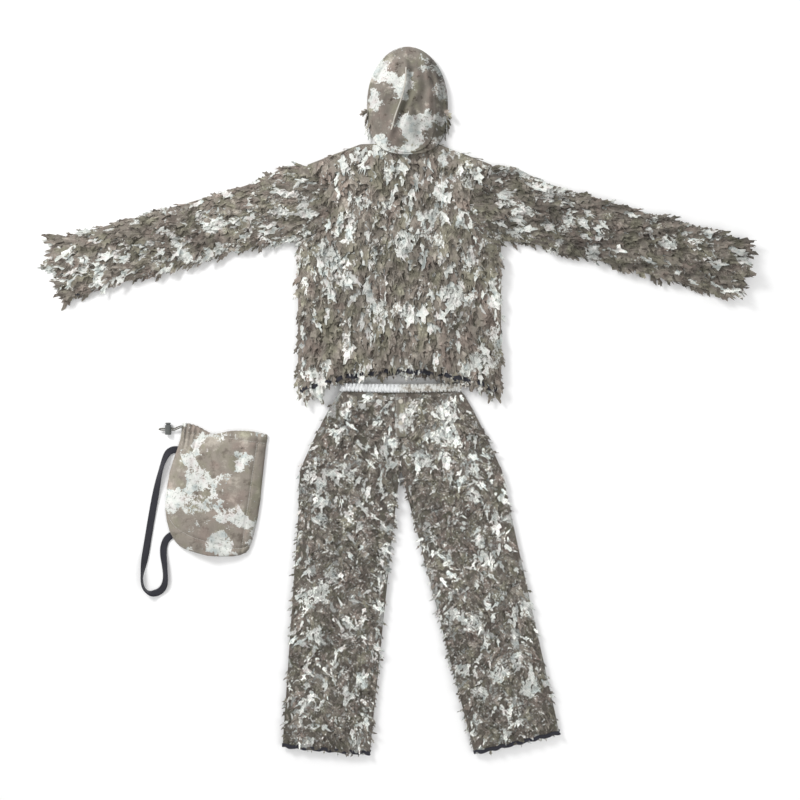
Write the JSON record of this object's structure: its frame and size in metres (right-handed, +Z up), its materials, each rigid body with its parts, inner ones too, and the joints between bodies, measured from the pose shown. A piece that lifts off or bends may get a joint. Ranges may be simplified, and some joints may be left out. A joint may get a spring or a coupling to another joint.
{
  "type": "ghillie suit",
  "caption": "Leafy camouflage suit laid out flat: hooded zip jacket, elastic-waist trousers and a drawstring carry bag with webbing strap.",
  "frame": {"origin": "on the ground under the middle of the laid-out suit", "axes": "+X to the viewer's right along the sleeves, +Y from the trouser hems to the hood, +Z up from the ground, out of the front of the jacket"},
  "size_m": [1.9874, 1.958, 0.0686],
  "materials": {
    "leafy_cloth": "matt printed polyester leaf cloth, taupe and olive with pale grey-white patches",
    "base_cloth": "matt printed polyester base cloth",
    "hood_cloth": "smooth thin camouflage cloth",
    "veil_cloth": "smooth thin see-through camouflage cloth",
    "bag_cloth": "smooth camouflage cloth",
    "dark_elastic": "dark knitted elastic binding",
    "pale_elastic": "pale elastic waistband",
    "webbing": "black woven webbing",
    "cord": "thin braided cord",
    "zip_tape": "woven zip tape with a nylon coil",
    "zip_metal": "dull metal",
    "button_plastic": "polished plastic",
    "lock_plastic": "grey moulded plastic",
    "spring_steel": "bright spring wire"
  },
  "bodies": {
    "jacket": {"jacket_back_panel": "base_cloth", "jacket_back_leaves": "leafy_cloth", "jacket_front_left": "base_cloth", "jacket_front_right": "base_cloth", "jacket_front_leaves_left": "leafy_cloth", "jacket_front_leaves_right": "leafy_cloth", "jacket_hem_elastic": "dark_elastic", "neck_binding": "dark_elastic", "zip_tape_left": "zip_tape", "zip_tape_right": "zip_tape", "zip_top_stop_left": "zip_metal", "zip_top_stop_right": "zip_metal", "zip_bottom_stop": "zip_metal"},
    "zip_slider": {"zip_slider": "zip_metal"},
    "zip_pull": {"zip_pull": "zip_metal"},
    "hood": {"hood_shell_left": "hood_cloth", "hood_shell_right": "hood_cloth", "face_veil": "veil_cloth", "face_opening_binding": "dark_elastic", "hood_leaf_fringe_left": "leafy_cloth", "hood_leaf_fringe_right": "leafy_cloth"},
    "left_sleeve": {"left_sleeve_tube": "base_cloth", "left_sleeve_end_elastic": "dark_elastic", "left_sleeve_back_leaves": "leafy_cloth", "left_sleeve_front_leaves": "leafy_cloth"},
    "right_sleeve": {"right_sleeve_tube": "base_cloth", "right_sleeve_end_elastic": "dark_elastic", "right_sleeve_back_leaves": "leafy_cloth", "right_sleeve_front_leaves": "leafy_cloth"},
    "trousers": {"seat_back_left": "base_cloth", "seat_back_right": "base_cloth", "seat_front_left": "base_cloth", "seat_front_right": "base_cloth", "seat_front_leaves_left": "leafy_cloth", "seat_front_leaves_right": "leafy_cloth", "seat_back_leaves": "leafy_cloth", "waistband_casing": "pale_elastic", "waist_elastic": "pale_elastic", "fly_placket": "base_cloth", "fly_button_1": "button_plastic", "fly_button_2": "button_plastic"},
    "left_leg": {"left_leg_tube": "base_cloth", "left_leg_end_elastic": "dark_elastic", "left_leg_back_leaves": "leafy_cloth", "left_leg_front_leaves": "leafy_cloth"},
    "right_leg": {"right_leg_tube": "base_cloth", "right_leg_end_elastic": "dark_elastic", "right_leg_back_leaves": "leafy_cloth", "right_leg_front_leaves": "leafy_cloth"},
    "bag": {"bag_front_panel": "bag_cloth", "bag_back_panel": "bag_cloth", "bag_base_panel": "bag_cloth", "mouth_casing": "bag_cloth", "drawcord_in_casing": "cord", "drawcord_loop": "cord", "shoulder_strap": "webbing"},
    "cord_lock": {"cord_lock_barrel": "lock_plastic", "cord_lock_spring": "spring_steel"},
    "lock_button": {"cord_lock_button": "lock_plastic"}
  },
  "joints": [
    {"name": "hood_fold", "type": "hinge", "parent": "jacket", "child": "hood", "pos_m": [0.0208, 0.663, 0.048], "axis": [1, 0, 0], "range_deg": [0, 110]},
    {"name": "left_sleeve_swing", "type": "hinge", "parent": "jacket", "child": "left_sleeve", "pos_m": [-0.2912, 0.542, 0.013], "axis": [0, 0, 1], "range_deg": [-15, 20]},
    {"name": "right_sleeve_swing", "type": "hinge", "parent": "jacket", "child": "right_sleeve", "pos_m": [0.2888, 0.542, 0.013], "axis": [0, 0, 1], "range_deg": [-20, 15]},
    {"name": "zip_travel", "type": "slide", "parent": "jacket", "child": "zip_slider", "axis": [0, -1, 0], "range_m": [0, 0.505]},
    {"name": "zip_pull_flip", "type": "hinge", "parent": "zip_slider", "child": "zip_pull", "pos_m": [-0.0012, 0.6159, 0.0353], "axis": [-1, 0, 0], "range_deg": [0, 165]},
    {"name": "trousers_lift", "type": "slide", "parent": "jacket", "child": "trousers", "axis": [0, 0, 1], "range_m": [0, 0.3]},
    {"name": "left_leg_swing", "type": "hinge", "parent": "trousers", "child": "left_leg", "pos_m": [-0.138, -0.1934, 0.012], "axis": [0, 0, 1], "range_deg": [-14, 2]},
    {"name": "right_leg_swing", "type": "hinge", "parent": "trousers", "child": "right_leg", "pos_m": [0.142, -0.1934, 0.012], "axis": [0, 0, 1], "range_deg": [-4, 12]},
    {"name": "bag_lift", "type": "slide", "parent": "jacket", "child": "bag", "axis": [0, 0, 1], "range_m": [0, 0.3]},
    {"name": "cord_lock_slide", "type": "slide", "parent": "bag", "child": "cord_lock", "axis": [1, 0, 0], "range_m": [-0.004, 0.006]},
    {"name": "lock_button_press", "type": "slide", "parent": "cord_lock", "child": "lock_button", "axis": [0, -1, 0], "range_m": [0, 0.0025], "stiffness_N_per_m": 300, "springref_m": -0.002, "deforming": ["cord_lock_spring"]}
  ]
}
